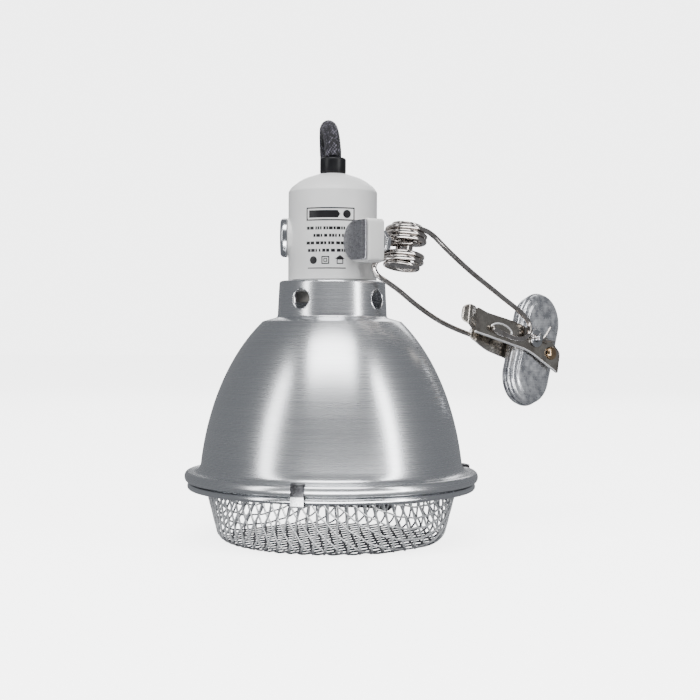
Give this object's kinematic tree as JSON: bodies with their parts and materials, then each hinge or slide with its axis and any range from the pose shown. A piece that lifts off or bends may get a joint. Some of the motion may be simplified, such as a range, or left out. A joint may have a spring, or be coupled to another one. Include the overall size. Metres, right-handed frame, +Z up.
{
  "type": "clamp heat lamp fixture",
  "caption": "Clamp-on heat lamp fixture: spun reflector with a vented collar, lampholder housing, clip-on mesh guard, wire spring clamp with oval pads, and braided lead with plug.",
  "frame": {"origin": "on the reflector's axis, on the flat underside of the guard", "axes": "+Z up the reflector's axis towards the cord gland, +X towards the clamp, -Y towards the fixture's front"},
  "size_m": [0.1955, 0.3041, 0.2116],
  "materials": {
    "spun_aluminium": "spun and brushed round, semi-bright",
    "white_enamel": "smooth white enamel, satin",
    "white_plastic": "satin",
    "black_plastic": "satin",
    "white_ceramic": "glazed",
    "brass": "satin",
    "plated_steel": "zinc plated, satin with a fine texture",
    "spring_steel": "bright drawn wire",
    "bright_mesh": "bright plated expanded mesh",
    "braided_cord": "braided, dark grey with light flecks"
  },
  "bodies": {
    "fixture": {"reflector": "spun_aluminium", "lampholder_housing": "white_enamel", "cord_gland": "black_plastic", "gland_lock_nut": "black_plastic", "ceramic_lampholder": "white_ceramic", "screw_shell": "brass", "terminal_screw_1": "brass", "terminal_screw_2": "brass", "shade_ring": "white_plastic", "housing_screw_1": "plated_steel", "housing_screw_2": "plated_steel", "side_cap": "plated_steel", "side_cap_screw": "plated_steel", "swivel_block": "white_plastic", "block_plate": "plated_steel", "cord_lead": "braided_cord", "cord_coil": "braided_cord", "cord_tie": "black_plastic", "cord_tail": "braided_cord", "plug_body": "black_plastic", "plug_pin_1": "brass", "plug_pin_2": "brass"},
    "contact": {"centre_contact": "brass"},
    "guard": {"guard_ring": "spun_aluminium", "guard_basket": "bright_mesh", "guard_clip_1": "spun_aluminium", "guard_clip_2": "spun_aluminium", "guard_clip_3": "spun_aluminium"},
    "stud": {"eye_stud": "spring_steel", "stud_washer": "plated_steel", "stud_nut": "plated_steel"},
    "spring": {"spring_spool": "spring_steel", "spring_coil_upper": "spring_steel", "spring_coil_lower": "spring_steel"},
    "jaw_front": {"leg_front": "spring_steel", "lever_front": "plated_steel", "pad_front": "plated_steel", "pad_pin_front": "plated_steel", "pin_washer_front": "plated_steel", "split_pin_front": "plated_steel", "pad_rivet_front": "brass"},
    "jaw_rear": {"leg_rear": "spring_steel", "lever_rear": "plated_steel", "pad_rear": "plated_steel", "pad_pin_rear": "plated_steel", "pin_washer_rear": "plated_steel", "split_pin_rear": "plated_steel", "pad_rivet_rear": "brass"}
  },
  "joints": [
    {"name": "guard_pull", "type": "slide", "parent": "fixture", "child": "guard", "axis": [0, 0, -1], "range_m": [0, 0.04], "deforming": ["guard_clip_1", "guard_clip_2", "guard_clip_3"]},
    {"name": "contact_press", "type": "slide", "parent": "fixture", "child": "contact", "axis": [0, 0, 1], "range_m": [0, 0.0015], "stiffness_N_per_m": 1500},
    {"name": "swivel_turn", "type": "hinge", "parent": "fixture", "child": "stud", "pos_m": [0.02116, -0.02913, 0.1463], "axis": [0.809, 0.5878, 0], "range_deg": [-90, 6]},
    {"name": "clamp_swing", "type": "hinge", "parent": "stud", "child": "spring", "pos_m": [0.0351, -0.01895, 0.1472], "axis": [0.1454, 0.1803, 0.9728], "range_deg": [-25, 3]},
    {"name": "jaw_front_open", "type": "hinge", "parent": "spring", "child": "jaw_front", "pos_m": [0.0351, -0.01895, 0.1472], "axis": [-0.1454, -0.1803, -0.9728], "range_deg": [0, 12], "stiffness_Nm_per_rad": 2, "springref_deg": -17.19, "deforming": ["spring_coil_upper"]},
    {"name": "jaw_rear_open", "type": "hinge", "parent": "spring", "child": "jaw_rear", "pos_m": [0.0351, -0.01895, 0.1472], "axis": [0.1454, 0.1803, 0.9728], "range_deg": [0, 12], "stiffness_Nm_per_rad": 2, "springref_deg": -17.19, "deforming": ["spring_coil_lower"]}
  ],
  "couplings": [
    {"joint": "jaw_rear_open", "follows": "jaw_front_open", "ratio": 1}
  ]
}
